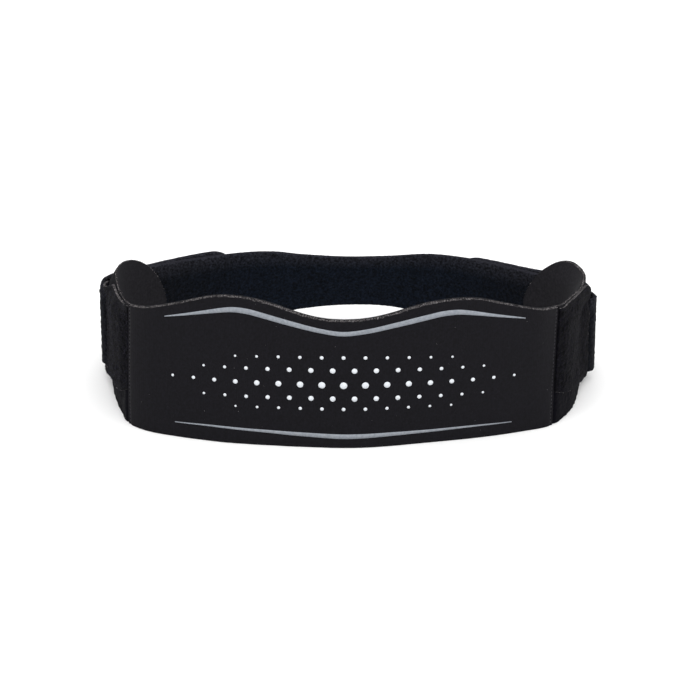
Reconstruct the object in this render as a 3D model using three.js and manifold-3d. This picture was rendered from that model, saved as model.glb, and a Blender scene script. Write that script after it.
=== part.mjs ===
import * as THREE from 'three';
import Module from 'manifold-3d';

// Patella brace: a closed knee strap that stands on its lower rim, with the leg opening along Z.
// Sizes are in millimetres. The printed front faces -Y, +X is its right side as drawn and +Z is up.
// Places along the loop are distances along its plan line, which is the outer face of the front pad
// and of its wings. They count from the middle of the front, rising towards +X.

// Plan of the loop
const seamHalfSpan = 65.2;
const sideBulge = 7.9;
const loopDepth = 81;

// Front pad: laminated foam with a fabric face, whose wings carry a facing of loop fabric
const padHeight = 48.4;
const padThickness = 2.2;
const facingThickness = 0.9;
const wingLength = 59.3;
const wingEndLength = 17;
const wingEndMiddle = 18.5;

// Band round the back, folded through a slot on each side
const strapWidth = 25.4;
const strapThickness = 1;
const strapMiddle = 18.6;
const tabLength = 52;
const tabEndLength = 11;

// Anchor straps, sewn into the side seams and cut with a slot for the band
const anchorThickness = 1;
const anchorRail = 2.9;
const slotLength = 5;
const slotClearance = 0.4;
const barWidth = 7;

// Clearance between layers of cloth that lie on each other
const layerGap = 0.3;

// Longest steps of the meshes, along the loop
const plainStep = 3;
const turnSteps = 8;
const endSteps = 7;

// The plan from the middle of the front to the widest place, as shares: across of seamHalfSpan,
// bulge of sideBulge and back of loopDepth. From there a quarter ellipse leads to the back.
const planRows = [
  { across: 0, bulge: 0, back: 0 },
  { across: 0.385, bulge: 0, back: 0.033 },
  { across: 0.63, bulge: 0, back: 0.073 },
  { across: 0.79, bulge: 0, back: 0.11 },
  { across: 0.92, bulge: 0, back: 0.152 },
  { across: 1, bulge: 0, back: 0.205 },
  { across: 1, bulge: 0.36, back: 0.273 },
  { across: 1, bulge: 0.68, back: 0.375 },
  { across: 1, bulge: 0.9, back: 0.49 },
  { across: 1, bulge: 1, back: 0.6 },
];
const seamRow = planRows.findIndex((row) => row.across === 1);
const backSteps = 6;

// Upper edge of the pad from its middle to the seam: along is a share of that way, top of padHeight
const padEdgeRows = [
  { along: 0, top: 0.868 },
  { along: 0.07, top: 0.873 },
  { along: 0.14, top: 0.889 },
  { along: 0.215, top: 0.919 },
  { along: 0.296, top: 0.957 },
  { along: 0.37, top: 0.984 },
  { along: 0.45, top: 1 },
  { along: 0.53, top: 1 },
  { along: 0.6, top: 0.985 },
  { along: 0.67, top: 0.955 },
  { along: 0.74, top: 0.921 },
  { along: 0.89, top: 0.853 },
  { along: 1, top: 0.822 },
];

// Upper edge of a wing from the seam to its end: along is a share of wingLength, top of padHeight
const wingEdgeRows = [
  { along: 0, top: 0.822 },
  { along: 0.1, top: 0.796 },
  { along: 0.3, top: 0.777 },
  { along: 0.6, top: 0.765 },
  { along: 1, top: 0.76 },
];

// Edges of an anchor strap from the seam to the end of its bar, as shares of half its height there
const anchorEdgeRows = [
  { along: 0, below: 0.45, above: 1.29 },
  { along: 0.14, below: 0.64, above: 1.2 },
  { along: 0.35, below: 0.81, above: 1.14 },
  { along: 0.58, below: 0.94, above: 1.08 },
  { along: 0.7, below: 0.95, above: 0.99 },
  { along: 0.82, below: 0.91, above: 0.92 },
  { along: 0.94, below: 0.84, above: 0.83 },
  { along: 1, below: 0.76, above: 0.75 },
];

// The band from its left fold round the back to its right fold: along is a share of that way, lift
// and width are shares of strapWidth. It is cut narrower behind the knee and sags a little.
const bandRows = [
  { along: 0, lift: 0, width: 1 },
  { along: 0.15, lift: -0.05, width: 1 },
  { along: 0.25, lift: -0.055, width: 0.975 },
  { along: 0.33, lift: -0.03, width: 0.915 },
  { along: 0.42, lift: 0, width: 0.765 },
  { along: 0.5, lift: -0.01, width: 0.655 },
  { along: 0.58, lift: -0.01, width: 0.675 },
  { along: 0.65, lift: -0.03, width: 0.815 },
  { along: 0.71, lift: -0.08, width: 0.915 },
  { along: 0.79, lift: -0.14, width: 0.985 },
  { along: 0.87, lift: -0.15, width: 1 },
  { along: 1, lift: -0.07, width: 1 },
];

// What differs between the two sides: how far the fold lies behind the seam, how much the folded
// end stands off there, and the lift of the folded end at its fold, middle and tip, in strapWidths
const sides = {
  left: { sign: -1, foldReach: 32.5, flare: 0, tabRows: [
    { along: 0, lift: 0 },
    { along: 0.4, lift: -0.035 },
    { along: 1, lift: -0.03 },
  ] },
  right: { sign: 1, foldReach: 31, flare: 1.5, tabRows: [
    { along: 0, lift: -0.07 },
    { along: 0.4, lift: -0.13 },
    { along: 1, lift: -0.12 },
  ] },
};
const flareLength = 14;

// Distances of the layers from the plan line, counted outwards
const coreOuter = -(facingThickness + layerGap);
const bandMiddle = layerGap + strapThickness / 2;
const barInner = 2 * layerGap + strapThickness;
const foldedOnBar = barInner + anchorThickness + layerGap + strapThickness / 2;
const foldedOnBand = barInner + strapThickness / 2;

// Value of a column of a table at a place between its rows, on a smooth curve through them
function tableAt(rows, column, along) {
  const last = rows.length - 1;
  let row = 0;
  while (row < last - 1 && rows[row + 1].along < along) row += 1;
  const slope = (i) => {
    const before = rows[Math.max(i - 1, 0)];
    const after = rows[Math.min(i + 1, last)];
    return (after[column] - before[column]) / (after.along - before.along);
  };
  const from = rows[row];
  const to = rows[row + 1];
  const span = to.along - from.along;
  const share = THREE.MathUtils.clamp((along - from.along) / span, 0, 1);
  const ease = share * share * (3 - 2 * share);
  const leave = share * (1 - share) * (1 - share);
  const arrive = share * share * (share - 1);
  return from[column] * (1 - ease) + to[column] * ease
    + span * (slope(row) * leave + slope(row + 1) * arrive);
}

// The plan line as a closed curve, counter-clockwise seen from above
function planLine() {
  const right = planRows.map((row) => new THREE.Vector3(
    row.across * seamHalfSpan + row.bulge * sideBulge, row.back * loopDepth, 0));
  const widest = right[right.length - 1];
  for (let i = 1; i <= backSteps; i += 1) {
    const turn = (i / backSteps) * Math.PI / 2;
    const back = widest.y + (loopDepth - widest.y) * Math.sin(turn);
    right.push(new THREE.Vector3(widest.x * Math.cos(turn), back, 0));
  }
  const left = right.slice(1, -1).reverse().map((point) => new THREE.Vector3(-point.x, point.y, 0));
  const line = new THREE.CatmullRomCurve3([...right, ...left], true, 'centripetal');
  line.arcLengthDivisions = 3000;
  return line;
}
const plan = planLine();
const planLength = plan.getLength();
const seamPlace = plan.getLengths()[Math.round(
  seamRow / plan.points.length * plan.arcLengthDivisions)];

// Point of the plan line at a place along it, and the directions along and out of the loop there
function planAt(place) {
  const share = THREE.MathUtils.euclideanModulo(place / planLength, 1);
  const along = plan.getTangentAt(share);
  return {
    point: plan.getPointAt(share),
    along,
    outward: new THREE.Vector3(along.y, -along.x, 0),
  };
}

// Point of a layer at a place along the loop
function layerPoint(place, offset) {
  const { point, outward } = planAt(place);
  return point.addScaledVector(outward, offset);
}

// Places from one to another, no further apart than plainStep
function places(from, to) {
  const count = Math.max(1, Math.ceil(Math.abs(to - from) / plainStep));
  return Array.from({ length: count + 1 }, (_, i) => from + (to - from) * i / count);
}

// A strip of cloth that stands on edge: each cut across it has the plan points of its two faces,
// left and right of the way the cuts follow, and the heights of its two edges
function stripGeometry(cuts) {
  const rings = cuts.map(({ left, right, bottom, top }) => [
    [left.x, left.y, bottom],
    [right.x, right.y, bottom],
    [right.x, right.y, top],
    [left.x, left.y, top],
  ]);
  const corners = rings[0].length;
  const triangles = [];
  for (let i = 0; i + 1 < cuts.length; i += 1) {
    for (let j = 0; j < corners; j += 1) {
      const a = i * corners + j;
      const b = i * corners + (j + 1) % corners;
      triangles.push(a, a + corners, b + corners, a, b + corners, b);
    }
  }
  const end = (cuts.length - 1) * corners;
  triangles.push(0, 1, 2, 0, 2, 3);
  triangles.push(end, end + 2, end + 1, end, end + 3, end + 2);
  const geometry = new THREE.BufferGeometry();
  geometry.setAttribute('position', new THREE.Float32BufferAttribute(rings.flat(2), 3));
  geometry.setIndex(triangles);
  return geometry;
}

// A cut across a layer of the loop between two distances from the plan line
function layerCut(place, inner, outer, bottom, top) {
  return { left: layerPoint(place, inner), right: layerPoint(place, outer), bottom, top };
}

// Cuts run counter-clockwise, so those of the left side, made from its seam, are turned round
function inOrder(side, cuts) {
  return side.sign > 0 ? cuts : cuts.reverse();
}

// Cuts of one wing from its seam to its rounded end, between two distances from the plan line
function wingCuts(side, inner, outer, start) {
  const edge = (along) => padHeight * tableAt(wingEdgeRows, 'top', along / wingLength);
  const cuts = places(start, wingLength - wingEndLength).map(
    (along) => layerCut(side.sign * (seamPlace + along), inner, outer, 0, edge(along)));
  for (let i = 1; i <= endSteps; i += 1) {
    const turn = (i / (endSteps + 0.3)) * Math.PI / 2;
    const along = wingLength - wingEndLength * (1 - Math.sin(turn));
    const bottom = wingEndMiddle * (1 - Math.cos(turn));
    const top = wingEndMiddle + (edge(along) - wingEndMiddle) * Math.cos(turn);
    cuts.push(layerCut(side.sign * (seamPlace + along), inner, outer, bottom, top));
  }
  return inOrder(side, cuts);
}

// The pad: full thickness between the seams, and the thinner core of both wings behind them
function frontPad() {
  const front = places(-seamPlace, seamPlace).map((place) => layerCut(
    place, -padThickness, 0, 0,
    padHeight * tableAt(padEdgeRows, 'top', Math.abs(place) / seamPlace)));
  return stripGeometry([
    ...wingCuts(sides.left, -padThickness, coreOuter, layerGap),
    ...front,
    ...wingCuts(sides.right, -padThickness, coreOuter, layerGap),
  ]);
}

// The facing of loop fabric on the outer face of a wing
function sideFacing(side) {
  return stripGeometry(wingCuts(side, -facingThickness, 0, 2 * layerGap));
}

// Place of a fold along the loop, counted from the middle of the front without a sign
function foldPlace(side) {
  return seamPlace + side.foldReach;
}

// Height of the band's middle line where it is folded through the slot
function foldMiddle(side) {
  return strapMiddle + strapWidth * side.tabRows[0].lift;
}

// Solid of a geometry, for cutting
const manifold = await Module();
manifold.setup();
function solidOf(geometry) {
  const vertProperties = geometry.getAttribute('position').array;
  const triVerts = Uint32Array.from(geometry.index.array);
  return new manifold.Manifold(new manifold.Mesh({ numProp: 3, vertProperties, triVerts }));
}

// Geometry of a solid
function geometryOf(solid) {
  const mesh = solid.getMesh();
  const geometry = new THREE.BufferGeometry();
  geometry.setAttribute('position', new THREE.BufferAttribute(mesh.vertProperties, mesh.numProp));
  geometry.setIndex(new THREE.BufferAttribute(mesh.triVerts, 1));
  return geometry;
}

// An anchor strap: it lies on the wing behind the seam, then lifts over the band that comes through
// its slot, and ends in the bar that the band is folded round
function anchorStrap(side) {
  const slotHalf = strapWidth / 2 + slotClearance;
  const half = slotHalf + anchorRail;
  const length = side.foldReach + barWidth;
  const slotStart = side.foldReach - slotLength;
  const drop = foldMiddle(side) - strapMiddle;
  const cuts = places(2 * layerGap, length).map((along) => {
    const lifted = THREE.MathUtils.smoothstep(along, slotStart - slotLength, side.foldReach);
    const inner = THREE.MathUtils.lerp(layerGap, barInner, lifted);
    const middle = strapMiddle + drop * lifted;
    return layerCut(side.sign * (seamPlace + along), inner, inner + anchorThickness,
      middle - half * tableAt(anchorEdgeRows, 'below', along / length),
      middle + half * tableAt(anchorEdgeRows, 'above', along / length));
  });
  const slot = places(slotStart, side.foldReach).map((along) => layerCut(
    side.sign * (seamPlace + along), 0, foldedOnBar,
    foldMiddle(side) - slotHalf, foldMiddle(side) + slotHalf));
  const strap = solidOf(stripGeometry(inOrder(side, cuts)));
  return geometryOf(strap.subtract(solidOf(stripGeometry(inOrder(side, slot)))));
}

// A cut across the band about a point of its middle line, facing the given way
function bandCut(point, facing, middle, width) {
  return {
    left: point.clone().addScaledVector(facing, -strapThickness / 2),
    right: point.clone().addScaledVector(facing, strapThickness / 2),
    bottom: middle - width / 2,
    top: middle + width / 2,
  };
}

// Distance of the folded end from the plan line: it stands off at the fold, lies on the bar, and
// behind the bar it comes down on the band
function foldedOffset(side, along) {
  const standing = side.flare * (1 - THREE.MathUtils.smoothstep(along, 0, flareLength));
  const lowered = THREE.MathUtils.smoothstep(along, barWidth + layerGap, 2 * barWidth);
  return THREE.MathUtils.lerp(foldedOnBar, foldedOnBand, lowered) + standing;
}

// Cuts of a folded end from its fold to its rounded tip
function tabCuts(side) {
  const cutAt = (along, share) => {
    const place = side.sign * (foldPlace(side) + along);
    const lift = tableAt(side.tabRows, 'lift', along / tabLength);
    return bandCut(layerPoint(place, foldedOffset(side, along)), planAt(place).outward,
      strapMiddle + strapWidth * lift, strapWidth * share);
  };
  const cuts = places(0, tabLength - tabEndLength).map((along) => cutAt(along, 1));
  for (let i = 1; i <= endSteps; i += 1) {
    const turn = (i / (endSteps + 0.6)) * Math.PI / 2;
    cuts.push(cutAt(tabLength - tabEndLength * (1 - Math.sin(turn)), Math.cos(turn)));
  }
  return cuts;
}

// Cuts of the turn round the bar, from the folded end to the leg of the band that lies on the wing
function foldCuts(side) {
  const { point, along, outward } = planAt(side.sign * foldPlace(side));
  const forward = along.clone().multiplyScalar(-side.sign);
  const folded = foldedOffset(side, 0);
  const half = (folded - bandMiddle) / 2;
  const centre = point.clone().addScaledVector(outward, bandMiddle + half);
  return Array.from({ length: turnSteps - 1 }, (_, i) => {
    const turn = (i + 1) / turnSteps * Math.PI;
    const spoke = outward.clone().multiplyScalar(Math.cos(turn))
      .addScaledVector(forward, Math.sin(turn));
    return bandCut(centre.clone().addScaledVector(spoke, half), spoke, foldMiddle(side), strapWidth);
  });
}

// The band: left folded end, left fold, the long leg round the back, right fold, right folded end
function backStrap() {
  const from = planLength - foldPlace(sides.left);
  const to = foldPlace(sides.right);
  const leg = places(from, to).map((place) => {
    const along = (from - place) / (from - to);
    const middle = strapMiddle + strapWidth * tableAt(bandRows, 'lift', along);
    const inward = planAt(place).outward.negate();
    const width = strapWidth * tableAt(bandRows, 'width', along);
    return bandCut(layerPoint(place, bandMiddle), inward, middle, width);
  });
  return stripGeometry([
    ...tabCuts(sides.left).reverse(),
    ...foldCuts(sides.left),
    ...leg,
    ...foldCuts(sides.right).reverse(),
    ...tabCuts(sides.right),
  ]);
}

const padFabric = new THREE.MeshStandardMaterial({ color: 0x232225, roughness: 0.75, metalness: 0 });
const loopFabric = new THREE.MeshStandardMaterial({ color: 0x201f23, roughness: 0.95, metalness: 0 });
const anchorTape = new THREE.MeshStandardMaterial({ color: 0x1f1e21, roughness: 0.95, metalness: 0 });
const bandPile = new THREE.MeshStandardMaterial({ color: 0x14151a, roughness: 0.97, metalness: 0 });

const brace = new THREE.Group();
function addPiece(name, geometry, material) {
  const mesh = new THREE.Mesh(geometry, material);
  mesh.name = name;
  brace.add(mesh);
}

addPiece('front_pad', frontPad(), padFabric);
for (const [name, side] of Object.entries(sides)) {
  addPiece(`side_facing_${name}`, sideFacing(side), loopFabric);
  addPiece(`anchor_strap_${name}`, anchorStrap(side), anchorTape);
}
addPiece('back_strap', backStrap(), bandPile);

// The origin is on the surface that the brace stands on, under the middle of its outline
const outline = new THREE.Box3().setFromObject(brace);
const middle = outline.getCenter(new THREE.Vector3());
brace.position.set(-middle.x, -middle.y, -outline.min.z);

export default brace;
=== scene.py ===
"""Patella brace: a padded knee strap that stands on its lower rim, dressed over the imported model."""
import bisect
import math
import random
from collections import namedtuple
from functools import partial

import bmesh
import bpy
from mathutils import Matrix, Vector, geometry, noise


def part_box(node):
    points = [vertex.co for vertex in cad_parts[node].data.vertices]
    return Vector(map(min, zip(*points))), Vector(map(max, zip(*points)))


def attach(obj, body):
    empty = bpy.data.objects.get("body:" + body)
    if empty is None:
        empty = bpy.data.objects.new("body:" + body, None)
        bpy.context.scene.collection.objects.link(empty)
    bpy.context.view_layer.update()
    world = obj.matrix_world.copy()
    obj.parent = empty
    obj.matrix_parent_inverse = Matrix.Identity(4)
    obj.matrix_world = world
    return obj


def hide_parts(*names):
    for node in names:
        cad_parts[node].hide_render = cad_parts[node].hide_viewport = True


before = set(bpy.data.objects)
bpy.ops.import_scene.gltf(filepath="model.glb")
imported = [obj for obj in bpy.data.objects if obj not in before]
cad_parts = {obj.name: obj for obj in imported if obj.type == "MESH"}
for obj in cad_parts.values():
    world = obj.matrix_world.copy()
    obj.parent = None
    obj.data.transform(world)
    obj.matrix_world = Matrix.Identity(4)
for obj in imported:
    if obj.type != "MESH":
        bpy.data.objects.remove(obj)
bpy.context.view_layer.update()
scene = bpy.context.scene

# Camera
# A long lens in front of the brace looks 26 degrees down, over the printed front into the opening
# for the leg. It is placed from the middle of the front, where the pad stands on its lower rim.
degrees_down = 26
pad_low, pad_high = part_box("front_pad")
front_middle = Vector(((pad_low.x + pad_high.x) / 2, pad_low.y, 0))
camera_lens = bpy.data.cameras.new("camera")
camera_lens.lens = 162.9
camera_lens.sensor_width = 36
camera_lens.clip_start = 0.05
camera = bpy.data.objects.new("camera", camera_lens)
camera.location = front_middle + Vector((0.00167, -0.84978, 0.44761))
camera.rotation_euler = (math.radians(90 - degrees_down), 0, 0)
scene.collection.objects.link(camera)
scene.camera = camera

# Studio
# A white table and white walls, lit by one large soft box over the front and two at the sides, so
# that black cloth shows its pile and edges and the shadow on the table stays faint.
mm = 0.001
scene.view_settings.view_transform = "Standard"


def linear(hex_colour):
    """Linear colour of an sRGB hex value."""
    shares = [int(hex_colour[i:i + 2], 16) / 255 for i in (1, 3, 5)]
    return [s / 12.92 if s <= 0.04045 else ((s + 0.055) / 1.055) ** 2.4 for s in shares] + [1.0]


def add_node(tree, kind, inputs=None, **settings):
    """Adds a node. An input is a value, or the output of another node that is linked to it."""
    node = tree.nodes.new(kind)
    for name, value in settings.items():
        setattr(node, name, value)
    for name, value in (inputs or {}).items():
        if isinstance(value, bpy.types.NodeSocket):
            tree.links.new(value, node.inputs[name])
        else:
            node.inputs[name].default_value = value
    return node


def new_material(name):
    """A material with an empty node tree."""
    material = bpy.data.materials.new(name)
    material.use_nodes = True
    material.node_tree.nodes.clear()
    return material, material.node_tree


def finish_material(tree, inputs):
    """Closes a node tree with its shader."""
    shader = add_node(tree, "ShaderNodeBsdfPrincipled", inputs)
    add_node(tree, "ShaderNodeOutputMaterial", {"Surface": shader.outputs["BSDF"]})


def flecks(tree, per_metre, detail=2.0, roughness=0.5):
    """Uneven flecks all through the piece, so many in a metre."""
    return add_node(tree, "ShaderNodeTexNoise", {
        "Vector": add_node(tree, "ShaderNodeTexCoord").outputs["Object"], "Scale": per_metre,
        "Detail": detail, "Roughness": roughness}).outputs["Fac"]


def relief(tree, height, strength, deep):
    """Fine relief of a surface, some mm deep."""
    return add_node(tree, "ShaderNodeBump", {
        "Height": height, "Strength": strength, "Distance": deep * mm}).outputs["Normal"]


world = bpy.data.worlds.new("white_walls")
world.use_nodes = True
world.node_tree.nodes["Background"].inputs["Color"].default_value = linear("#ffffff")
world.node_tree.nodes["Background"].inputs["Strength"].default_value = 1.0
scene.world = world

table_paint, tree = new_material("matt_white_table")
finish_material(tree, {
    "Base Color": linear("#f4f4f4"), "Roughness": 0.8, "Specular IOR Level": 0.2,
    "Normal": relief(tree, flecks(tree, 900), 0.02, 0.2)})
table_top = bmesh.new()
bmesh.ops.create_grid(table_top, x_segments=8, y_segments=8, size=4)
table_mesh = bpy.data.meshes.new("table")
table_top.to_mesh(table_mesh)
table_top.free()
table_mesh.materials.append(table_paint)
table = bpy.data.objects.new("table", table_mesh)
scene.collection.objects.link(table)

# Soft boxes: place, size across, power, in metres and watts
for name, place, across, power in (
        ("soft_box_top", (-0.2, -0.5, 1.5), 1.5, 15),
        ("soft_box_left", (-1.3, -1.0, 0.9), 0.9, 1.5),
        ("soft_box_right", (1.2, -0.3, 1.2), 0.9, 7.5)):
    lamp = bpy.data.lights.new(name, "AREA")
    lamp.size = across
    lamp.energy = power
    box = bpy.data.objects.new(name, lamp)
    box.location = place
    box.rotation_euler = (-Vector(place)).to_track_quat("-Z", "Y").to_euler()
    scene.collection.objects.link(box)

# Front pad
# The contoured front is one laminate: a smooth black knit outside, light foam and a knit lining. It
# is die cut, so the foam shows all round the edge. It runs on round both sides into two rounded
# comfort tongues inside the loop. Behind each side seam the foam is thinner. Sizes are in mm.
seam_half_span = 65.2
side_bulge = 7.9
loop_depth = 81
pad_height = 48.4
pad_thickness = 2.2
cut_rounding = 0.12
stitch_inset = 0.8
stitch_pinch = 0.25
stitch_pinch_width = 0.5
wing_length = 59.3
wing_end_length = 20
wing_end_middle = 17.5
wing_end_squareness = 2.3
wing_end_fullness = 0.56

# Behind the seam the foam starts under the facing, deeper where the left wing is pressed thin
core_start = 1.15
left_core_pressed = 0.5
pressed_width = 3.2

# Half of the loop's plan, as shares of its span, bulge and depth, to its widest place; then an ellipse
plan_rows = [(0, 0, 0), (0.385, 0, 0.033), (0.63, 0, 0.073), (0.79, 0, 0.11), (0.92, 0, 0.152),
             (1, 0, 0.205), (1, 0.36, 0.273), (1, 0.68, 0.375), (1, 0.9, 0.49), (1, 1, 0.6)]
seam_row = 5
back_steps = 6
steps_between_marks = 24

# Upper edge of the pad to the seam, and of a wing behind it: share of the way, share of pad_height
pad_edge_rows = [(0, 0.875), (0.07, 0.879), (0.14, 0.893), (0.215, 0.92), (0.296, 0.957),
                 (0.37, 0.984), (0.45, 1), (0.53, 1), (0.6, 0.985), (0.67, 0.955), (0.74, 0.921),
                 (0.89, 0.853), (1, 0.822)]
wing_edge_rows = [(0, 0.822), (0.1, 0.796), (0.3, 0.777), (0.6, 0.765), (1, 0.76)]

# The right wing is cut lower, and its upper edge curls out: how far, by the distance behind the seam
right_lower_rows = [(0, 0), (12, 0), (24, 0.6), (34, 0.8), (46, 1.1), (53, 2.4), (57, 4), (60, 4)]
right_curl_rows = [(0, 0), (12, 1.2), (24, 3.1), (40, 2.8), (60, 2.3)]

# The right half leans forward by right_lean over its height, from right_foot_back behind the plan
# line. The left half stands out at its foot, and so do both wings.
right_lean = 3
right_foot_back = 1
left_foot_out = 1.1
wing_foot_height = 17
right_wing_foot_out = 1.1
left_wing_foot_out = 0.3


def plan_line():
    """The loop's line seen from above, closed, from the middle of the front towards +X."""
    right = [Vector((across * seam_half_span + bulge * side_bulge, back * loop_depth, 0))
             for across, bulge, back in plan_rows]
    widest = right[-1].copy()
    for step in range(1, back_steps + 1):
        turn = step / back_steps * math.pi / 2
        right.append(Vector((widest.x * math.cos(turn),
                             widest.y + (loop_depth - widest.y) * math.sin(turn), 0)))
    marks = right + [Vector((-mark.x, mark.y, 0)) for mark in reversed(right[1:-1])]
    line = []
    for i in range(len(marks)):
        before, start, end, after = (marks[(i + k - 1) % len(marks)] for k in range(4))
        gap_in, gap, gap_out = (math.sqrt(max((b - a).length, 0.001))
                                for a, b in ((before, start), (start, end), (end, after)))
        leave = (start - before) / gap_in - (end - before) / (gap_in + gap) + (end - start) / gap
        arrive = (end - start) / gap - (after - start) / (gap + gap_out) + (after - end) / gap_out
        line += geometry.interpolate_bezier(
            start, start + leave * gap / 3, end - arrive * gap / 3, end,
            steps_between_marks + 1)[:-1]
    return line


line_points = plan_line()
line_places = [0.0]
for here, there in zip(line_points, line_points[1:] + line_points[:1]):
    line_places.append(line_places[-1] + (there - here).length)
line_length = line_places[-1]
line_ways = [(line_points[(i + 1) % len(line_points)] - line_points[i - 1]).normalized()
             for i in range(len(line_points))]
seam_place = line_places[seam_row * steps_between_marks]


def line_at(place):
    """Point of the plan line at a distance along it from the front's middle, and its outward way."""
    place %= line_length
    i = min(bisect.bisect_right(line_places, place) - 1, len(line_points) - 1)
    share = (place - line_places[i]) / (line_places[i + 1] - line_places[i])
    following = (i + 1) % len(line_points)
    way = line_ways[i].lerp(line_ways[following], share).normalized()
    return line_points[i].lerp(line_points[following], share), Vector((way.y, -way.x, 0))


def on_loop(place, out, height):
    """Point at a place along the plan line, outwards of it and above the table."""
    point, outward = line_at(place)
    return point + outward * out + Vector((0, 0, height))


def table_value(rows, along):
    """Value at a place between the rows of a table, on a smooth curve through them."""
    row = 0
    while row < len(rows) - 2 and rows[row + 1][0] < along:
        row += 1

    def slope(i):
        before, after = rows[max(i - 1, 0)], rows[min(i + 1, len(rows) - 1)]
        return (after[1] - before[1]) / (after[0] - before[0])

    (start, value), (end, next_value) = rows[row], rows[row + 1]
    share = min(max((along - start) / (end - start), 0), 1)
    ease = share * share * (3 - 2 * share)
    bend = share * (1 - share) * (slope(row) * (1 - share) - slope(row + 1) * share)
    return value * (1 - ease) + next_value * ease + (end - start) * bend


def smooth_step(value, low, high):
    """0 below low, 1 above high and a smooth rise between."""
    share = min(max((value - low) / (high - low), 0), 1)
    return share * share * (3 - 2 * share)


def steps(start, end, longest):
    """Values from start to end, no further apart than longest, without the last one."""
    count = max(1, math.ceil(abs(end - start) / longest - 0.001))
    return [start + (end - start) * i / count for i in range(count)]


def ripple(place, height, size, seed):
    """Smooth noise over the cloth, from about -0.5 to 0.5, with bumps of a size."""
    return noise.noise(Vector((place / size, height / size, seed)))


def wing_edges(along, sign):
    """Heights of the lower and upper edge of a wing behind its seam, which ends half round."""
    top = pad_height * table_value(wing_edge_rows, along / wing_length)
    if sign > 0:
        top -= table_value(right_lower_rows, along)
    into_end = (along - wing_length + wing_end_length) / wing_end_length
    if into_end <= 0:
        return 0, top
    share = max(0, 1 - into_end ** wing_end_squareness) ** wing_end_fullness
    return wing_end_middle * (1 - share), wing_end_middle + (top - wing_end_middle) * share


def end_reaches(count):
    """Shares of the way into a round end, from 0 to just under 1, closer together at its tip."""
    return [math.sin(i / (count + 0.1) * math.pi / 2) for i in range(count + 1)]


def wing_columns(start, fine):
    """Places behind the seam where a wing has its columns, closer together round its end."""
    return steps(start, wing_length - wing_end_length, fine) \
        + [wing_length - wing_end_length * (1 - reach) for reach in end_reaches(30)]


def edge_rows(tall, fine):
    """Shares of the height of a cut of cloth where it has its rows, closer together at its edges."""
    near_edge = [0, 0.2, 0.45, 0.8, 1.3]
    rows = near_edge[:-1] + steps(near_edge[-1], tall - near_edge[-1], fine)
    return [row / tall for row in rows + [tall - near for near in reversed(near_edge)]]


def lean(place, height):
    """How far the pad stands out of its plan line."""
    away = abs(place)
    along = away - seam_place
    at_foot = 1 - smooth_step(height, 0, wing_foot_height)
    if place > 0:
        front = smooth_step(away, 2, 34) * (1 - smooth_step(along, -12, 4))
        out = front * (height / pad_height * right_lean - right_foot_back)
        out += right_wing_foot_out * smooth_step(along, 3, 13) * at_foot
        if along > 0:
            out += table_value(right_curl_rows, along) * smooth_step(height, 28, 38)
    else:
        front = smooth_step(away, 6, 40) * (1 - smooth_step(along, 0, 8))
        out = front * left_foot_out * (1 - smooth_step(height, 0, 40))
        out += left_wing_foot_out * smooth_step(along, 0, 9) * at_foot
    return out


def seam_shift(place, height):
    """The side seams aren't sewn quite alike: how far the cloth is drawn along the loop there."""
    near = math.exp(-((abs(place) - seam_place) / 9) ** 2)
    return near * (-0.7 if place < 0 else -0.9 - (1 - height / 40))


def face_relief(place, height):
    """Small unevenness of the outer face: soft waves, and the pinch of the stitches at the seam."""
    from_stitches = abs(place) - seam_place + stitch_inset
    waves = 0.22 * ripple(place, height, 19, 3) + 0.08 * ripple(place, height, 7, 8)
    return waves - stitch_pinch * math.exp(-(from_stitches / stitch_pinch_width) ** 2)


def wing_pressed(along, height, bottom, top):
    """How far a wing is pressed thin, from 0 to 1, towards its upper edge and round its end."""
    to_edge = min(top - height, wing_length - along)
    if along > wing_length - wing_end_length:
        to_edge = min(to_edge, height - bottom)
    return smooth_step(along, 1, 9) * (1 - smooth_step(to_edge, 0, pressed_width))


def foam_start(place, pressed):
    """Depth at which the foam of a wing starts."""
    return core_start + (left_core_pressed if place < 0 else 0.0) * pressed


def pad_point(place, share, depth, inset):
    """Point of the laminate: a place along it, a share of its height and a depth under its face."""
    away = abs(place)
    along = away - seam_place
    rounding = inset + cut_rounding * abs(2 * depth / pad_thickness - 1) ** 3
    if along > 0:
        bottom, top = wing_edges(along, place)
        into_end = smooth_step(along, wing_length - wing_end_length, wing_length)
    else:
        bottom, top = 0, pad_height * table_value(pad_edge_rows, away / seam_place)
        into_end = 0
    height = bottom + rounding + max(top - bottom - 2 * rounding, 0) * share
    place = math.copysign(away - rounding * into_end, place)
    core = smooth_step(along, -0.1, 0.35)
    outer = core_start
    if along > 0:
        outer = foam_start(place, wing_pressed(along, height, bottom, top))
    core_depth = outer + depth * (pad_thickness - outer) / pad_thickness
    out = lean(place, height) - depth * (1 - core) - core_depth * core
    out += face_relief(place, height) * (1 - depth / pad_thickness) * (1 - core)
    return on_loop(place + seam_shift(place, height), out, height)


def thicken(cloth, deep):
    """Makes a flat cut of cloth a slab."""
    grown = bmesh.ops.extrude_face_region(cloth, geom=cloth.faces[:])["geom"]
    bmesh.ops.translate(cloth, verts=[g for g in grown if isinstance(g, bmesh.types.BMVert)],
                        vec=(0, 0, deep))


def settle_faces(cloth, faces):
    """Puts faces of a cloth in the order of their places. Extruding leaves their order to chance,
    and fibres have to grow in the same places each time."""
    cloth.faces.index_update()
    numbers = sorted(face.index for face in faces)
    by_place = sorted(faces, key=lambda face: tuple(face.calc_center_median()))
    for number, face in zip(numbers, by_place):
        face.index = number
    cloth.faces.sort()


def side_faces(slab):
    """The faces round the sides of a slab that still lies flat."""
    return [face for face in slab.faces if len({vert.co.z for vert in face.verts}) > 1]


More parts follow.
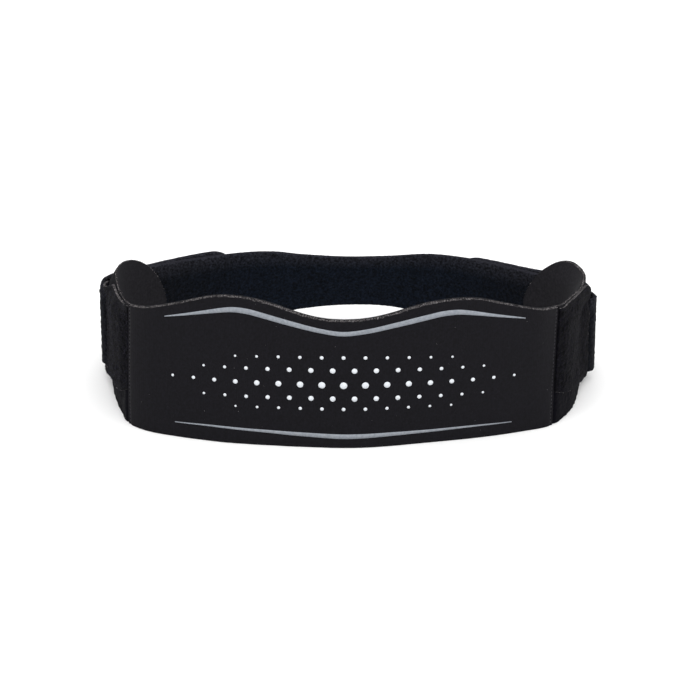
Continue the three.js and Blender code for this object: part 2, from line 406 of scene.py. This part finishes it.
def cut_cloth(columns, rows, layers, lay, measure=None, wide_uv=None, hole=None, edge_layers=None,
              lined=False):
    """A cut of cloth as a closed slab. It starts as a flat grid with a column, a row and a layer at
    each value, is thickened, and is laid in place by lay(column, row, layer) in mm. A hole leaves
    out the faces between two columns and two rows. The cut edge between the two edge_layers, but
    not at the first column, has the second material, and the back, if lined, the third. The map
    follows the columns or measure one way, and the height or the share of wide_uv the other way."""
    cloth = bmesh.new()
    wide, tall, deep = len(columns) - 1, len(rows) - 1, len(layers) - 1
    bmesh.ops.create_grid(cloth, x_segments=wide, y_segments=tall, size=0.5)
    bmesh.ops.translate(cloth, verts=cloth.verts, vec=(0.5, 0.5, 0))
    bmesh.ops.scale(cloth, verts=cloth.verts, vec=(wide, tall, 1))
    if hole:
        left, right, low, high = hole
        inside = [face for face in cloth.faces
                  if left < face.calc_center_median().x < right
                  and low < face.calc_center_median().y < high]
        bmesh.ops.delete(cloth, geom=inside, context="FACES")
    thicken(cloth, deep)
    if deep > 1:
        upright = [edge for edge in cloth.edges
                   if abs(edge.verts[0].co.z - edge.verts[1].co.z) > 0.5]
        bmesh.ops.subdivide_edges(cloth, edges=upright, cuts=deep - 1)
    settle_faces(cloth, side_faces(cloth))
    for face in cloth.faces:
        levels = {round(vert.co.z) for vert in face.verts}
        if edge_layers and len(levels) > 1 and edge_layers[0] <= min(levels) \
                and max(levels) <= edge_layers[1] and any(vert.co.x > 0.5 for vert in face.verts):
            face.material_index = 1
        if lined and levels == {deep}:
            face.material_index = 2
    across = measure or columns
    placed = {}
    for vert in cloth.verts:
        column, row, layer = (round(v) for v in vert.co)
        point = lay(columns[column], rows[row], layers[layer])
        rise = rows[row] * wide_uv if wide_uv else point.z
        placed[vert] = (point, (mm * (across[column] + layers[layer]), mm * (rise + layers[layer])))
    uv = cloth.loops.layers.uv.new("cloth")
    for vert, (point, _) in placed.items():
        vert.co = point
    for face in cloth.faces:
        for loop in face.loops:
            loop[uv].uv = placed[loop.vert][1]
    bmesh.ops.recalc_face_normals(cloth, faces=cloth.faces)
    return cloth


def finish_piece(name, cloth, materials, slot, *nodes):
    """Makes a bmesh in mm about the front's middle an object in the row frame, riding on the frame."""
    bmesh.ops.scale(cloth, verts=cloth.verts, vec=(mm, mm, mm))
    bmesh.ops.translate(cloth, verts=cloth.verts, vec=front_middle)
    for face in cloth.faces:
        face.smooth = True
    mesh = bpy.data.meshes.new(name)
    cloth.to_mesh(mesh)
    cloth.free()
    for material in materials:
        mesh.materials.append(material)
    piece = bpy.data.objects.new(name, mesh)
    scene.collection.objects.link(piece)
    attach(piece, "root")
    if nodes:
        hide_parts(*nodes)
    return piece


def reckon(tree, how, *values):
    """Result of a sum with values or outputs of nodes."""
    return add_node(tree, "ShaderNodeMath", dict(enumerate(values)),
                    operation=how).outputs["Value"]


def two_tone(tree, share, first, second):
    """A mix of two tints, each an sRGB hex value or the output of a node."""
    first, second = (linear(tint) if isinstance(tint, str) else tint for tint in (first, second))
    return add_node(tree, "ShaderNodeMix", {"Factor": share, "A": first, "B": second},
                    data_type="RGBA").outputs["Result"]


def spread_tone(tree, share, low, dark, high, light):
    """A tint that is dark where the share is low, light where it is high, and mixed between."""
    node = add_node(tree, "ShaderNodeValToRGB", {"Fac": share})
    for element, position, tint in zip(node.color_ramp.elements, (low, high), (dark, light)):
        element.position = position
        element.color = linear(tint)
    return node.outputs["Color"]


def rise_between(tree, value, low, high, most=1.0):
    """0 up to low, then a rise, to most from high on."""
    return add_node(tree, "ShaderNodeMapRange", {
        "Value": value, "From Min": low, "From Max": high, "To Max": most}).outputs["Result"]


def tricot(name, dark, light, speck_colour):
    """Nylon tricot, warp knitted: smooth and matt, with fine wales up and down. Real wales are
    0.3 mm apart; they are drawn at 0.7 mm, so that they just show."""
    material, tree = new_material(name)
    wales = add_node(tree, "ShaderNodeTexWave", {
        "Vector": add_node(tree, "ShaderNodeUVMap", uv_map="cloth").outputs["UV"],
        "Scale": math.tau / 20 / (0.7 * mm), "Distortion": 1.2, "Detail": 2.0,
        "Detail Scale": 2.0}, wave_type="BANDS", bands_direction="X").outputs["Fac"]
    lint = flecks(tree, 1400, 3.0)
    patches = two_tone(tree, flecks(tree, 38), dark, light)
    finish_material(tree, {
        "Base Color": two_tone(tree, rise_between(tree, lint, 0.35, 0.7), patches, speck_colour),
        "Roughness": 0.78, "Specular IOR Level": 0.1, "Sheen Weight": 0.02,
        "Sheen Roughness": 0.4,
        "Normal": relief(tree, reckon(tree, "ADD", wales, lint), 0.2, 0.1)})
    return material


# The face of the laminate is nearly black. Its lining is the same knit, painted a shade lighter:
# painted light standing in for the light that falls on the inner faces of the tongues
pad_knit = tricot("nylon_tricot_on_foam", "#0a090c", "#0e0d11", "#121116")
lining_knit = tricot("nylon_tricot_lining", "#141316", "#1b1a1e", "#222125")

# Cut edge of the laminate: pale foam between two dark knits, with torn cells and ends of yarn
foam_edge, tree = new_material("die_cut_foam_edge")
cells = flecks(tree, 2100, 4.0, 0.7)
finish_material(tree, {
    "Base Color": spread_tone(tree, cells, 0.46, "#141315", 0.7, "#7d797a"), "Roughness": 0.95,
    "Specular IOR Level": 0.05, "Normal": relief(tree, cells, 0.8, 0.2)})

# The pad's columns are finer from just before the seam to just behind it
fine_start = seam_place - 2.8
fine_reach = 0.6
half_columns = steps(0, fine_start, 0.8) + steps(fine_start, seam_place + fine_reach, 0.2) \
    + [seam_place + along for along in wing_columns(fine_reach, 0.8)]
pad_columns = [-place for place in reversed(half_columns[1:])] + half_columns
pad_layers = [0, 0.35, 0.65, 1.1, 1.55, 1.85, pad_thickness]


def lay_pad(place, share, depth):
    """The laminate's cut edge is a little torn between its two knits."""
    torn = 0
    if share in (0, 1) and 0.3 < depth < 1.9:
        torn = 0.12 + 0.5 * ripple(place, depth * 2, 0.9, 20 + share)
    return pad_point(place, share, depth, max(torn, 0))


pad = finish_piece(
    "pad_laminate",
    cut_cloth(pad_columns, edge_rows(pad_height, 0.95), pad_layers, lay_pad, edge_layers=(1, 4),
              lined=True),
    [pad_knit, foam_edge, lining_knit], "pad_fabric", "front_pad")

# Print
# Silver-grey ink, screen printed on the knit before it is laminated: a tapered line under the upper
# edge, one above the lower edge, and rows of round halftone dots that grow towards the middle.
print_thickness = 0.05

# Lines: distance from the middle, height of the line's middle, its width. The upper one is alike on
# both sides; the lower one is printed a little askew.
upper_half_rows = [(0, 38.35, 1.44), (7, 39.22, 1.46), (16.5, 41.36, 1.66), (24.5, 43.25, 1.77),
                   (29, 44.23, 1.78), (33.5, 44.48, 1.67), (37.5, 43.87, 1.48), (44, 42.4, 1.02),
                   (50, 40.97, 0.66), (55, 39.75, 0.3)]
upper_line_rows = [(-away, middle, width) for away, middle, width in upper_half_rows[:0:-1]] \
    + upper_half_rows
lower_line_rows = [(-52.2, 5.04, 0.24), (-40, 5.3, 0.56), (-25, 4.87, 0.89), (-12, 4.33, 1.28),
                   (0, 3.98, 1.52), (12, 4.16, 1.28), (25, 4.22, 0.89), (40, 4.45, 0.56),
                   (52.2, 4.2, 0.24)]

# Dots: height at the middle and at the end of the row, first and last dot, size there
dot_pitch = 6.56
dot_shift = -0.25
dot_rows = [(30.5, 29.35, 0, 5, 1.2, 0.72), (26.1, 25.2, 0.5, 6.5, 1.75, 0.76),
            (21.2, 20.6, 0, 8, 2.2, 0.84), (16.7, 15.95, 0.5, 6.5, 1.75, 0.76),
            (13.25, 12.75, 0, 5, 1.15, 0.7)]


def ink(name, dark, light):
    """Screen print ink with fine flakes of silver."""
    material, tree = new_material(name)
    flakes = flecks(tree, 1500, 3.0)
    finish_material(tree, {
        "Base Color": two_tone(tree, flakes, dark, light), "Roughness": 0.5, "Metallic": 0.15,
        "Normal": relief(tree, flakes, 0.2, 0.1)})
    return material


# The dots are printed twice, so they come out lighter than the lines
line_ink = ink("silver_screen_print_ink", "#5c6168", "#999ea6")
dot_ink = ink("silver_screen_print_ink_twice", "#c2c6cc", "#e0e4e8")

artwork = bmesh.new()
for rows in (upper_line_rows, lower_line_rows):
    before = set(artwork.verts)
    bmesh.ops.create_grid(artwork, x_segments=140, y_segments=2, size=0.5)
    for vert in set(artwork.verts) - before:
        place = vert.co.x * 2 * rows[-1][0]
        middle = table_value([(row[0], row[1]) for row in rows], place)
        width = table_value([(row[0], row[2]) for row in rows], place)
        vert.co = (place, middle + vert.co.y * width, 0)
line_faces = set(artwork.faces)
for middle_height, end_height, first, last, middle_size, end_size in dot_rows:
    for i in range(round(last - first) + 1):
        away = (first + i) * dot_pitch
        share = (first + i) / last
        height = middle_height + (end_height - middle_height) * share ** 1.5
        size = middle_size + (end_size - middle_size) * share ** 1.3
        for place in sorted({-away, away}):
            bmesh.ops.create_circle(
                artwork, cap_ends=True, cap_tris=True, segments=20, radius=size / 2,
                matrix=Matrix.Translation((place + dot_shift, height, 0)))
for face in artwork.faces:
    face.material_index = 0 if face in line_faces else 1
thicken(artwork, print_thickness)
settle_faces(artwork, side_faces(artwork))
for vert in artwork.verts:
    place, height, above = vert.co
    out = lean(place, height) + face_relief(place, height) + above
    vert.co = on_loop(place + seam_shift(place, height), out, height)
bmesh.ops.recalc_face_normals(artwork, faces=artwork.faces)
finish_piece("front_print", artwork, [line_ink, dot_ink], "silver_print")

# Side facings
# Brushed loop fabric is laminated to the outside of each wing, from the side seam to the end of the
# tongue, and cut together with it. It shows below the anchor strap, where it is slightly fuzzy.
facing_height = 38
facing_tuck = 0.7
facing_pressed_thickness = 0.15

loop_pile, tree = new_material("brushed_nylon_loop_fabric")
tufts = flecks(tree, 1100, 4.0, 0.65)
finish_material(tree, {
    "Base Color": two_tone(tree, tufts, "#020203", "#0b0a12"), "Roughness": 0.95,
    "Specular IOR Level": 0.04, "Sheen Weight": 0.02, "Sheen Roughness": 0.5,
    "Normal": relief(tree, reckon(tree, "ADD", tufts, flecks(tree, 330)), 0.7, 0.3)})


def pile(place, height, deep, size=0.95):
    """Relief of a pile of small loops."""
    return deep * (ripple(place, height, size, 40) + 0.5 * ripple(place, height, size * 0.45, 60))


def lay_facing(sign, along, share, depth):
    """depth is 0 on the pile and 1 on the foam. At the seam the facing is tucked in."""
    bottom, top = wing_edges(along, sign)
    rounding = cut_rounding * (1 - depth) ** 2
    into_end = smooth_step(along, wing_length - wing_end_length, wing_length)
    height = bottom + rounding + max(top - bottom - 2 * rounding, 0) * share
    place = sign * (seam_place + along - rounding * into_end)
    pressed = wing_pressed(along, height, bottom, top)
    tucked = facing_tuck * (1 - smooth_step(along, 0.1, 1.6))
    thick = (core_start - tucked) * (1 - pressed) + facing_pressed_thickness * pressed
    out = lean(place, height) - foam_start(place, pressed)
    out += (1 - depth) * (thick + pile(place, height, 0.25))
    return on_loop(place + seam_shift(place, height), out, height)


for name, sign in (("left", -1), ("right", 1)):
    facing = finish_piece(
        "wing_facing_" + name,
        cut_cloth(wing_columns(0.1, 0.55), edge_rows(facing_height, 0.6), [0, 0.3, 0.7, 1],
                  partial(lay_facing, sign)),
        [loop_pile], "wing_loop_fabric", "side_facing_" + name)

# Anchor straps
# A short strap of fuzzy loop tape is sewn into each side seam. It widens behind the seam, lies on
# the wing, lifts over the band that comes through its slot, and ends in the bar behind the slot.
strap_width = 25.4
strap_thickness = 1
strap_middle = 18.6
anchor_thickness = 0.95
anchor_rail = 2.9
slot_length = 5
slot_half = strap_width / 2 + 0.4
bar_width = 7

# Lower and upper edge of an anchor strap along it, as shares of half its height about its middle
anchor_below_rows = [(0, 0.45), (0.14, 0.6), (0.35, 0.72), (0.5, 0.77), (0.62, 0.86), (0.7, 0.9),
                     (0.82, 0.9), (0.94, 0.84), (1, 0.76)]
anchor_above_rows = [(0, 1.31), (0.14, 1.235), (0.35, 1.18), (0.58, 1.15), (0.66, 1.05),
                     (0.75, 0.93), (0.82, 0.89), (0.94, 0.82), (1, 0.75)]

# How a side's strap and folded band end lie. fold_reach is the way from the seam to the fold, air
# the gap between layers. The strap is sewn in deep by sewn_in, its upper edge is drawn up by
# drawn_up and pressed in by pressed_in. The folded end stands off by stand_off at the fold and
# bulges by bulge, most at bulge_at behind the fold. tab_rows is the end's lift along it, as share
# of the way and in widths of the band.
Side = namedtuple("Side", "name sign fold_reach air sewn_in drawn_up pressed_in stand_off bulge "
                          "bulge_at tab_rows")
left_side = Side(name="left", sign=-1, fold_reach=31.4, air=0.12, sewn_in=0.9, drawn_up=0,
                 pressed_in=1.5, stand_off=0, bulge=1.5, bulge_at=10,
                 tab_rows=[(0, 0.01), (0.45, -0.048), (1, -0.018)])
right_side = Side(name="right", sign=1, fold_reach=31, air=0.3, sewn_in=0.6, drawn_up=0.8,
                  pressed_in=1.0, stand_off=1.7, bulge=3.0, bulge_at=15,
                  tab_rows=[(0, -0.07), (0.45, -0.145), (1, -0.1)])

# How far a bar whose folded end stands off stands out too, by the height above the table
bar_rise_rows = [(0, -0.5), (3, -0.2), (8, 1.1), (22, 1.85), (27, 1.9), (30, 0.7), (33, 0.2)]

# Rows of a strap as shares of its height: a rail below the slot, the slot, and a rail above it
rail_share = 0.07
rail_rows = [rail_share * share for share in (0, 0.3, 0.65, 1)]
slot_rows = 50
strap_rows = rail_rows \
    + [rail_share + (1 - 2 * rail_share) * i / slot_rows for i in range(1, slot_rows)] \
    + [1 - row for row in reversed(rail_rows)]

anchor_tape, tree = new_material("napped_nylon_loop_tape")
nap = flecks(tree, 950, 5.0, 0.7)
finish_material(tree, {
    "Base Color": spread_tone(tree, nap, 0.42, "#010102", 0.68, "#0b0a13"), "Roughness": 0.95,
    "Specular IOR Level": 0.04, "Sheen Weight": 0.02, "Sheen Roughness": 0.5,
    "Normal": relief(tree, nap, 0.9, 0.4)})


def strap_heights(side, along, share, rounding):
    """Height of a row of a strap, and of the strap's lower and upper edge there. Behind the seam
    the outer rows draw together into the rails of the slot."""
    slot_start = side.fold_reach - slot_length
    length = side.fold_reach + bar_width
    half = slot_half + anchor_rail
    drop = strap_width * side.tab_rows[0][1]
    middle = strap_middle + drop * smooth_step(along, slot_start - slot_length, side.fold_reach)
    bottom = middle - half * table_value(anchor_below_rows, along / length) + rounding
    top = middle + half * table_value(anchor_above_rows, along / length) - rounding
    top += side.drawn_up * smooth_step(along, 2, 8) * (1 - smooth_step(along, 18, 28))
    shaped = smooth_step(along, 0.3 * slot_start, slot_start)
    low = bottom + rail_share * (top - bottom)
    high = top - rail_share * (top - bottom)
    low += (strap_middle + drop - slot_half - low) * shaped
    high += (strap_middle + drop + slot_half - high) * shaped
    if share < rail_share:
        height = bottom + (low - bottom) * share / rail_share
    elif share > 1 - rail_share:
        height = high + (top - high) * (share - 1 + rail_share) / rail_share
    else:
        height = low + (high - low) * (share - rail_share) / (1 - 2 * rail_share)
    return height, bottom, top


def lay_strap(side, along, share, depth):
    """depth is 0 outside and 1 inside."""
    height, bottom, top = strap_heights(side, along, share, 0.2 * abs(2 * depth - 1) ** 2)
    place = side.sign * (seam_place + along)
    slot_start = side.fold_reach - slot_length
    lifted = smooth_step(along, slot_start - slot_length, side.fold_reach)
    sewn = 1 - smooth_step(along, 0, 6)
    out = side.air + (strap_thickness + side.air) * lifted
    out -= side.sewn_in * sewn
    out -= side.pressed_in * smooth_step(along, 1, 6) * (1 - lifted) * smooth_step(height, 32, 38)
    out += anchor_thickness * (1 - depth) * (1 - 0.25 * sewn)
    if side.stand_off > 0:
        raised = smooth_step(along, slot_start - 8, slot_start)
        raised *= 1 - smooth_step(along, side.fold_reach - 1, side.fold_reach + 4)
        out += raised * table_value(bar_rise_rows, height)
    out += lean(place, height)
    crease = 0.35 * ripple(place, height * 0.3, 5, 70) * smooth_step(along, 2, 8)
    off_edge = smooth_step(min(height - bottom, top - height), 0, 1.5)
    out += (1 - depth) * off_edge * (pile(place, height, 0.34) + crease)
    return on_loop(place + seam_shift(place, height), out, height)


straps = {}
for side in (left_side, right_side):
    slot_start = side.fold_reach - slot_length
    length = side.fold_reach + bar_width
    to_slot = steps(0.1, slot_start, 0.5)
    to_fold = to_slot + steps(slot_start, side.fold_reach, 0.5)
    columns = to_fold + steps(side.fold_reach, length, 0.5) + [length]
    slot_low = len(rail_rows) - 1
    straps[side.name] = finish_piece(
        "slotted_strap_" + side.name,
        cut_cloth(columns, strap_rows, [0, 0.12, 0.5, 0.88, 1], partial(lay_strap, side),
                  hole=(len(to_slot), len(to_fold), slot_low, slot_low + slot_rows),
                  edge_layers=(1, 3)),
        [anchor_tape, foam_edge], "anchor_tape", "anchor_strap_" + side.name)

# Band
# A one inch elastic band with a blue-black loop pile goes round behind the knee, where it is cut
# narrower. Each end comes out through a slot, folds back round the bar and is closed on the band.
tab_length = 53
tab_end_length = 9
tab_corner = 2.6
plump_thickness = 1.5
plump_middle = 0.8
flare_length = 5
bulge_spread = 9
fold_steps = 16

# The band from its left to its right fold: share of the way, and lift and width in strap widths
band_lift_rows = [(0, 0.01), (0.15, -0.05), (0.25, -0.055), (0.33, -0.03), (0.375, -0.014),
                  (0.42, -0.013), (0.5, -0.013), (0.58, -0.007), (0.65, -0.022), (0.71, -0.07),
                  (0.79, -0.135), (0.87, -0.15), (1, -0.07)]
band_width_rows = [(0, 1), (0.15, 1), (0.25, 0.985), (0.33, 0.935), (0.375, 0.862), (0.42, 0.758),
                   (0.5, 0.673), (0.58, 0.701), (0.65, 0.84), (0.71, 0.93), (0.79, 0.99),
                   (0.87, 1), (1, 1)]


def tab_cuts(side):
    """Cuts of a folded end from its fold to its tip: point, way it faces, middle, width, thickness."""
    on_bar = 3 * side.air + strap_thickness * 1.5 + anchor_thickness
    on_band = plump_middle + plump_thickness + 0.05
    alongs = [(along, 1) for along in steps(0, tab_length - tab_end_length, 0.5)]
    alongs += [(tab_length - tab_end_length * (1 - reach),
                (1 - reach ** tab_corner) ** (1 / tab_corner)) for reach in end_reaches(22)]
    cuts = []
    for along, share in alongs:
        place = side.sign * (seam_place + side.fold_reach + along)
        lowered = smooth_step(along, bar_width, 2 * bar_width)
        out = on_bar + (on_band - on_bar) * lowered
        out += side.stand_off * (1 - smooth_step(along, 0, flare_length))
        out += side.bulge * math.exp(-((along - side.bulge_at) / bulge_spread) ** 2) \
            * smooth_step(along, 0, 8)
        middle = strap_middle + strap_width * table_value(side.tab_rows, along / tab_length)
        thickness = strap_thickness + (plump_thickness - strap_thickness) * lowered
        cuts.append((on_loop(place, out, 0), line_at(place)[1], middle, strap_width * share,
                     thickness))
    return cuts


def fold_cuts(side):
    """Cuts of the turn round the bar, from the folded end to the leg on the wing."""
    point, outward = line_at(side.sign * (seam_place + side.fold_reach))
    forward = Vector((-outward.y, outward.x, 0)) * -side.sign
    leg = side.air + strap_thickness / 2
    radius = (3 * side.air + strap_thickness * 1.5 + anchor_thickness + side.stand_off - leg) / 2
    centre = point + outward * (leg + radius)
    middle = strap_middle + strap_width * side.tab_rows[0][1]
    cuts = []
    for i in range(1, fold_steps):
        turn = i / fold_steps * math.pi
        spoke = outward * math.cos(turn) + forward * math.sin(turn)
        cuts.append((centre + spoke * radius, spoke, middle, strap_width, strap_thickness))
    return cuts


def leg_cuts():
    """Cuts of the long leg from the left fold round the back to the right fold."""
    start = line_length - seam_place - left_side.fold_reach
    end = seam_place + right_side.fold_reach
    cuts = []
    for place in steps(start, end, 0.5) + [end]:
        share = (start - place) / (start - end)
        from_fold = min(start - place, place - end)
        air = (left_side if start - place < place - end else right_side).air
        plump = smooth_step(from_fold, 4, 14)
        out = air + strap_thickness / 2
        out += (plump_middle - out) * plump
        thickness = strap_thickness + (plump_thickness - strap_thickness) * plump
        middle = strap_middle + strap_width * table_value(band_lift_rows, share)
        width = strap_width * table_value(band_width_rows, share)
        cuts.append((on_loop(place, out, 0), -line_at(place)[1], middle, width, thickness))
    return cuts


left_tab, right_tab = tab_cuts(left_side), tab_cuts(right_side)
band_cuts = left_tab[::-1] + fold_cuts(left_side) + leg_cuts() + fold_cuts(right_side)[::-1] \
    + right_tab
band_places = [0.0]
for here, there in zip(band_cuts, band_cuts[1:]):
    band_places.append(band_places[-1] + (there[0] - here[0]).length)
band_flat = (strap_width * mm, band_places[-1] * mm)

# The pile is blue-black behind the knee. Towards the folds it is painted darker and greyer, a painted
# shade where the band runs in the shade of the tongues. Along its upper edge it is painted greyer and
# lighter, a painted highlight where the rounded top catches the light, and, less so, on the folded
# ends, painted light where they stand in the light at the sides
band_pile, tree = new_material("elastic_loop_pile")
loops = flecks(tree, 1500, 4.0, 0.65)
on_band = add_node(tree, "ShaderNodeSeparateXYZ", {
    "Vector": add_node(tree, "ShaderNodeUVMap", uv_map="cloth").outputs["UV"]})
from_middle = reckon(tree, "ABSOLUTE",
                     reckon(tree, "SUBTRACT", on_band.outputs["X"], band_flat[1] / 2))
# Painted shade: this share darkens the pile towards the folds, where the tongues shade the band
to_fold = rise_between(tree, from_middle, 0.035, 0.075)
light_on_fold = rise_between(tree, from_middle, 0.09, 0.095, 0.45)
highlight_to_top = rise_between(tree, on_band.outputs["Y"], 0.0195, 0.027)
shaded_pile_tint = two_tone(tree, to_fold, spread_tone(tree, loops, 0.38, "#030509", 0.68, "#151c28"),
                     spread_tone(tree, loops, 0.38, "#040406", 0.7, "#13161c"))
# Painted light: a lighter tint for the painted highlight along the upper edge and the painted light on
# the folded ends
painted_light_tint = spread_tone(tree, loops, 0.36, "#0a0a0d", 0.72, "#3a3a42")
finish_material(tree, {
    "Base Color": two_tone(tree, reckon(tree, "MAXIMUM", highlight_to_top, light_on_fold), shaded_pile_tint, painted_light_tint),
    "Roughness": 0.97, "Specular IOR Level": 0.04, "Sheen Weight": 0.04, "Sheen Roughness": 0.5,
    "Normal": relief(tree, reckon(tree, "ADD", loops, flecks(tree, 300)), 0.9, 0.5)})

# Along its edges the pile is worn down to the grey ground of the elastic
band_edge, tree = new_material("elastic_ground_edge")
ground = flecks(tree, 1600, 3.0)
finish_material(tree, {
    "Base Color": two_tone(tree, ground, "#0f0f12", "#2c2c33"), "Roughness": 0.95,
    "Specular IOR Level": 0.05, "Normal": relief(tree, ground, 0.6, 0.3)})


def lay_band(cut, share, depth):
    """depth is 0 on the side that is outside on the folded ends, and 1 on the other."""
    centre, facing, middle, width, thickness = band_cuts[cut]
    rounding = 0.4 * (1 - math.sqrt(max(0, 1 - (2 * depth - 1) ** 2)))
    height = middle + (width - 2 * min(rounding, width / 2)) * (share - 0.5)
    out = thickness * (0.5 - depth) + (1 - 2 * depth) * pile(band_places[cut], height, 0.22)
    point = centre + facing * out
    return Vector((point.x, point.y, height))


band = finish_piece(
    "elastic_band",
    cut_cloth(list(range(len(band_cuts))), edge_rows(strap_width, 0.5), [0, 0.12, 0.5, 0.88, 1],
              lay_band, measure=band_places, wide_uv=strap_width, edge_layers=(1, 3)),
    [band_pile, band_edge], "band_pile", "back_strap")

# Stitching
# Lockstitch in black spun thread: one row down each side seam, which also holds the anchor strap,
# and one row inside the border of each folded end of the band.
stitch_pitch = 1.25
stitch_length = 0.85
thread_thickness = 0.26
border_inset = 1.8

# The border row runs between two of the cuts of a folded end, counted from its fold and its tip
border_from_fold = 22
border_from_tip = 14

thread, tree = new_material("black_spun_thread")
ply = flecks(tree, 3000)
finish_material(tree, {
    "Base Color": two_tone(tree, ply, "#0c0b0e", "#414046"), "Roughness": 0.7,
    "Specular IOR Level": 0.3, "Normal": relief(tree, ply, 0.5, 0.1)})


def sew(stitches, line):
    """Adds a row of stitches along a line of points: each is a short, round-ended length."""
    run = 0
    for here, there in zip(line, line[1:]):
        way = there - here
        while run <= way.length:
            centre = here + way * (run / way.length)
            turn = way.to_track_quat("Z", "Y").to_matrix().to_4x4()
            shape = Matrix.Diagonal((thread_thickness / 2, thread_thickness / 2, stitch_length / 2, 1))
            bmesh.ops.create_uvsphere(stitches, u_segments=6, v_segments=5, radius=1,
                                      matrix=Matrix.Translation(centre) @ turn @ shape)
            run += stitch_pitch
        run -= way.length


stitches = bmesh.new()
for sign in (-1, 1):
    seam = []
    place = sign * (seam_place - stitch_inset)
    for height in steps(1.4, 39.4, 0.5):
        out = lean(place, height) + face_relief(place, height) + 0.06
        seam.append(on_loop(place + seam_shift(place, height), out, height))
    sew(stitches, seam)
for cuts in (left_tab, right_tab):
    border = []
    for edge, part in ((1, cuts[border_from_fold:-border_from_tip]),
                       (-1, cuts[-border_from_tip:border_from_fold - 1:-1])):
        for centre, facing, middle, width, thickness in part:
            point = centre + facing * (thickness / 2 + 0.05)
            border.append(Vector((point.x, point.y, middle + edge * (width / 2 - border_inset))))
    sew(stitches, border)
settle_faces(stitches, stitches.faces[:])
finish_piece("seam_stitches", stitches, [thread], "stitch_thread")

# Loose fibres
# Cut edges shed ends of pale and dark yarn, and the loop cloths carry a halo of fine curled fibres.
# They are thin tubes, drawn a little thicker than real ones so that they just show.
yarn_ends, tree = new_material("cut_yarn_ends")
finish_material(tree, {
    "Base Color": spread_tone(tree, flecks(tree, 700), 0.4, "#252427", 0.62, "#a8a4a6"),
    "Roughness": 0.8, "Specular IOR Level": 0.1})

# Single loops that stand up out of a pile catch more light than the pile
pile_ends, tree = new_material("nylon_pile_ends")
finish_material(tree, {
    "Base Color": linear("#2e2d39"), "Roughness": 0.8, "Specular IOR Level": 0.1})

# A fibre's four points: share of its rise, of its drift along the cloth, and of its curl
fibre_points = ((0, 0, 0), (0.5, 0.15, 0.4), (0.85, 0.55, 1.0), (1.0, 1.1, 0.6))


def loose_fibres(name, piece, material, count, reach, thickness, seed, on=(0, 1)):
    """Short curled fibres that stand out of the faces of a piece that have the materials on. Sizes
    are in mm."""
    draw = random.Random(seed)
    faces = [face for face in piece.data.polygons if face.material_index in on]
    total, shares = 0, []
    for face in faces:
        total += face.area
        shares.append(total)
    curve = bpy.data.curves.new(name, "CURVE")
    curve.dimensions = "3D"
    curve.bevel_depth = thickness / 2 * mm
    curve.bevel_resolution = 0
    curve.use_fill_caps = True
    for _ in range(count):
        face = faces[min(bisect.bisect_left(shares, draw.random() * total), len(faces) - 1)]
        normal = face.normal
        drift = Vector([draw.uniform(-1, 1) for _ in range(3)])
        drift -= normal * drift.dot(normal)
        jitter = Vector([draw.uniform(-1, 1) for _ in range(3)]) * 0.2 * mm
        root = face.center + jitter - jitter.dot(normal) * normal - normal * 0.1 * mm
        rise = reach * mm * draw.uniform(0.35, 1)
        curl = Vector([draw.uniform(-1, 1) for _ in range(3)]) * rise * 0.35
        spline = curve.splines.new("POLY")
        spline.points.add(len(fibre_points) - 1)
        for i, (up, along, bend) in enumerate(fibre_points):
            point = root + normal * rise * up + drift * rise * along + curl * bend
            point.z = max(point.z, thickness * mm)
            spline.points[i].co = (*point, 1)
            spline.points[i].radius = 1 - 0.2 * i
    shaped = bpy.data.objects.new(name, curve)
    scene.collection.objects.link(shaped)
    mesh = bpy.data.meshes.new_from_object(
        shaped.evaluated_get(bpy.context.evaluated_depsgraph_get()))
    bpy.data.objects.remove(shaped)
    mesh.materials.clear()
    mesh.materials.append(material)
    fibres = bpy.data.objects.new(name, mesh)
    scene.collection.objects.link(fibres)
    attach(fibres, "root")


loose_fibres("pad_edge_fibres", pad, yarn_ends, 3600, 0.36, 0.075, 11, on=(1,))
loose_fibres("pad_lint", pad, yarn_ends, 70, 0.5, 0.08, 14, on=(0,))
loose_fibres("band_fibres", band, pile_ends, 5200, 0.5, 0.07, 12)
for seed, (name, strap) in enumerate(straps.items()):
    loose_fibres("slotted_strap_fibres_" + name, strap, pile_ends,
                 3000, 0.5, 0.08, 21 + seed)
    loose_fibres("slotted_strap_edge_fibres_" + name, strap, yarn_ends,
                 420, 0.4, 0.08, 31 + seed, on=(1,))
